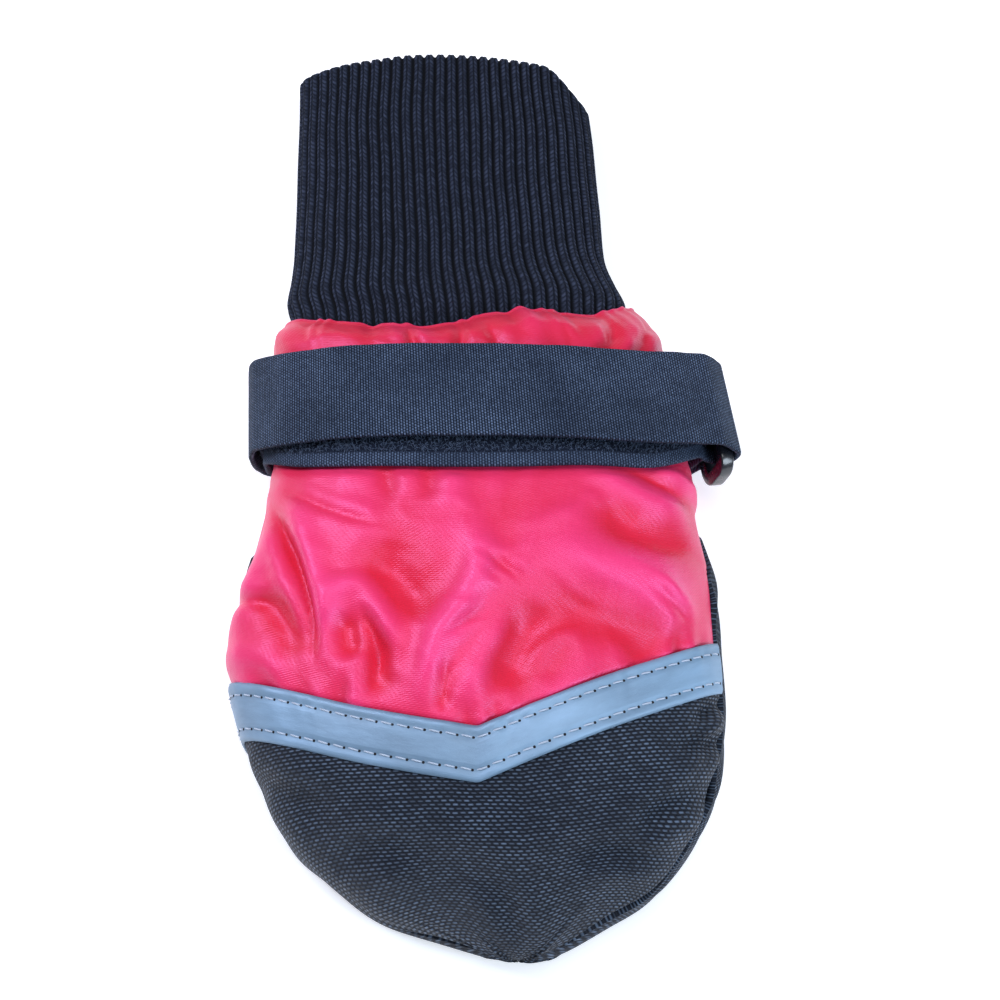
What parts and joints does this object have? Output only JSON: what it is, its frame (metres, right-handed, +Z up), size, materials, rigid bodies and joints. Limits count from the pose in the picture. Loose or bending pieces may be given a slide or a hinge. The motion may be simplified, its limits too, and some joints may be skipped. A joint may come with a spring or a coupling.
{
  "type": "dog bootie",
  "caption": "Soft dog bootie: padded nylon paw pocket with a woven toe cap, reflective chevron, rib-knit leg cuff and a hook-and-loop ankle strap turned through a ring.",
  "frame": {"origin": "on the floor under the sole, at the middle of its width and a little behind its widest part", "axes": "+Y runs from the toe back to the leg cuff, +Z is up away from the sole, and +X is the side that carries the ring"},
  "size_m": [0.1076, 0.208, 0.0375],
  "materials": {
    "nylon": "red satin nylon, softly gathered",
    "sole_fabric": "black rubber-coated woven fabric",
    "cap_fabric": "black coarse plain weave",
    "reflective": "silver-grey reflective tape",
    "rib_knit": "black rib knit, folded double",
    "strap_webbing": "black hook-and-loop tape, ribbed back and loop pile",
    "ring_plastic": "black moulded plastic",
    "tab_webbing": "black flat webbing"
  },
  "bodies": {
    "root": {"upper": "nylon", "sole": "sole_fabric", "toe_cap": "cap_fabric", "reflective_tape": "reflective", "cuff": "rib_knit", "strap": "strap_webbing", "strap_ring": "ring_plastic", "ring_tab": "tab_webbing"}
  },
  "joints": []
}
